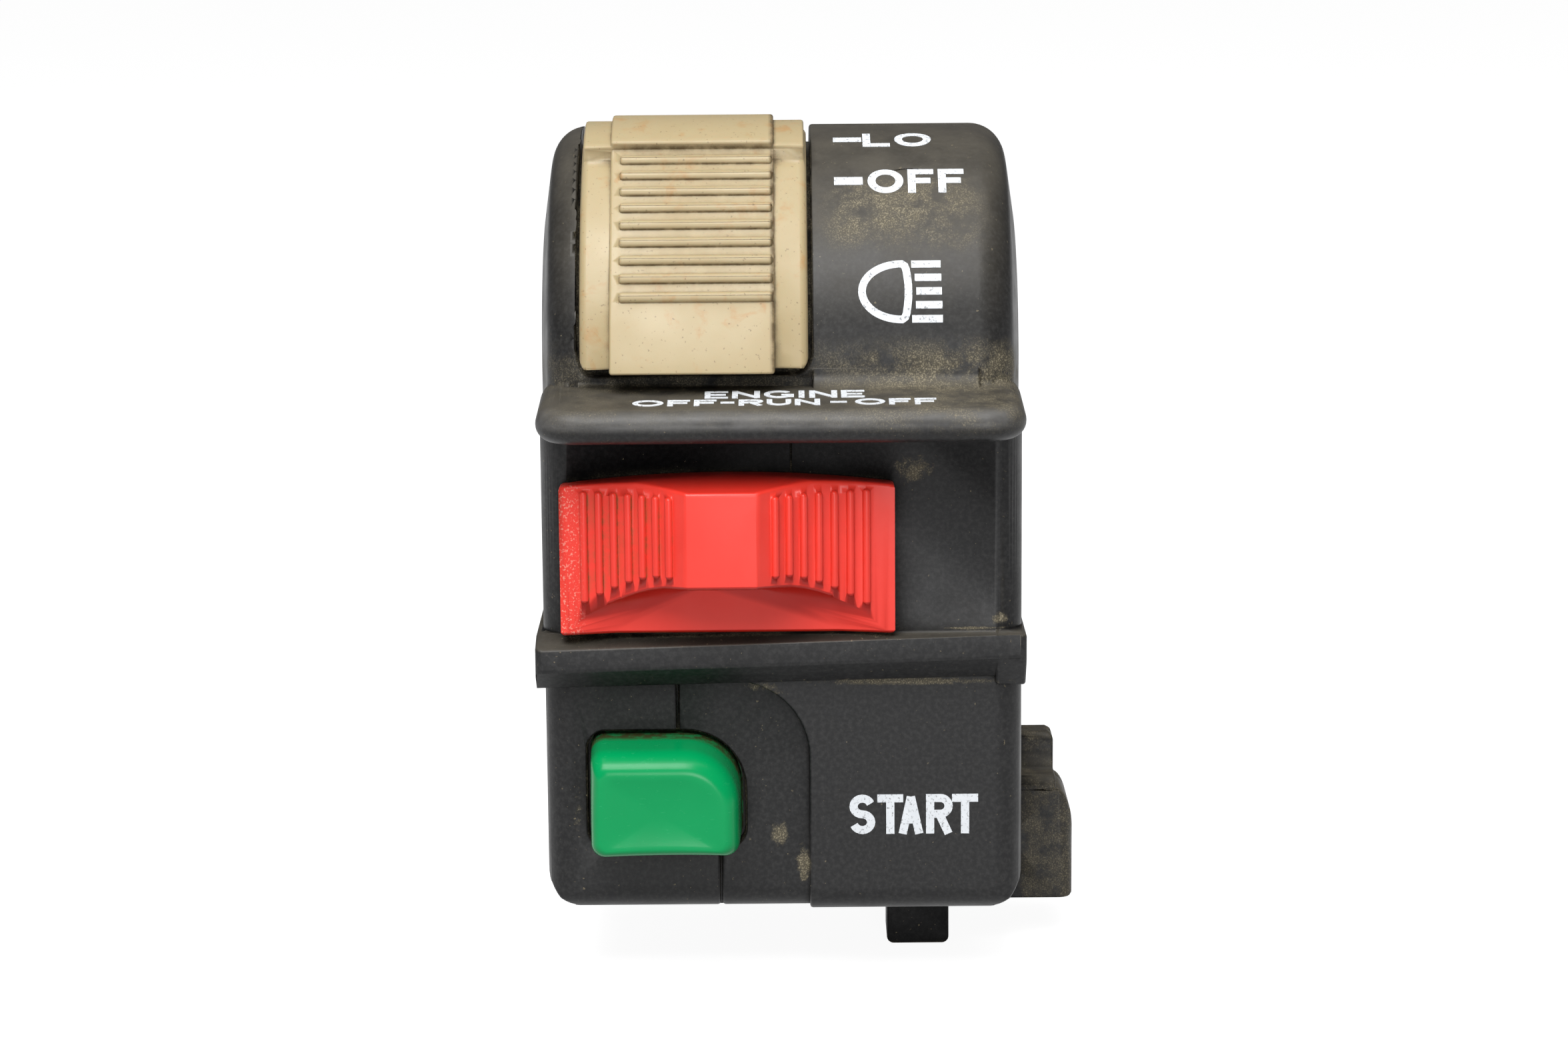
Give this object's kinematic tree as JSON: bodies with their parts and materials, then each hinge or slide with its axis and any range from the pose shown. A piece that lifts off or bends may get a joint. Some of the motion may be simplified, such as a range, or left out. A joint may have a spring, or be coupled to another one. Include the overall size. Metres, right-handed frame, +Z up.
{
  "type": "handlebar switch cluster",
  "caption": "Two-piece clamp-on handlebar switch case with a curved headlight slider, an engine stop slide switch under a visor, a starter button and a harness outlet.",
  "frame": {"origin": "on the handlebar's axis, halfway along the case", "axes": "+X along the handlebar to the rider's right, +Y away from the rider, +Z up"},
  "size_m": [0.0458, 0.0476, 0.0725],
  "materials": {
    "case_black": "satin moulded",
    "ivory": "aged satin",
    "stop_red": "satin",
    "start_green": "gloss",
    "nylon": "matte",
    "phenolic": "matte",
    "brass": "bright",
    "steel": "zinc plated",
    "rubber": "matte"
  },
  "bodies": {
    "case": {"front_case": "case_black", "rear_case": "case_black", "case_screws": "steel", "harness_grommet": "rubber", "light_contact_plate": "phenolic", "light_fixed_contacts": "brass", "light_plate_screws": "steel", "stop_contact_plate": "phenolic", "stop_fixed_contacts": "brass", "stop_plate_screws": "steel", "start_button_seal": "rubber", "start_return_spring": "steel", "start_contact_plate": "phenolic", "start_fixed_contacts": "brass", "start_plate_screws": "steel"},
    "light_switch": {"light_slider": "ivory", "light_carriage": "nylon", "light_carriage_screws": "steel", "light_moving_contacts": "brass", "light_detent_ball": "steel", "light_detent_spring": "steel"},
    "stop_switch": {"stop_slider": "stop_red", "stop_carriage": "nylon", "stop_carriage_screw": "steel", "stop_moving_contacts": "brass", "stop_detent_ball": "steel", "stop_detent_spring": "steel"},
    "start_switch": {"start_button": "start_green", "start_bridge_contact": "brass", "start_stem_clip": "steel"}
  },
  "joints": [
    {"name": "light_turn", "type": "hinge", "parent": "case", "child": "light_switch", "pos_m": [0, 0, 0], "axis": [-1, 0, 0], "range_deg": [0, 40]},
    {"name": "stop_slide", "type": "slide", "parent": "case", "child": "stop_switch", "axis": [1, 0, 0], "range_m": [0, 0.009]},
    {"name": "start_press", "type": "slide", "parent": "case", "child": "start_switch", "axis": [0, 1, 0], "range_m": [0, 0.0025], "stiffness_N_per_m": 300, "springref_m": -0.005, "deforming": ["start_return_spring"]}
  ]
}
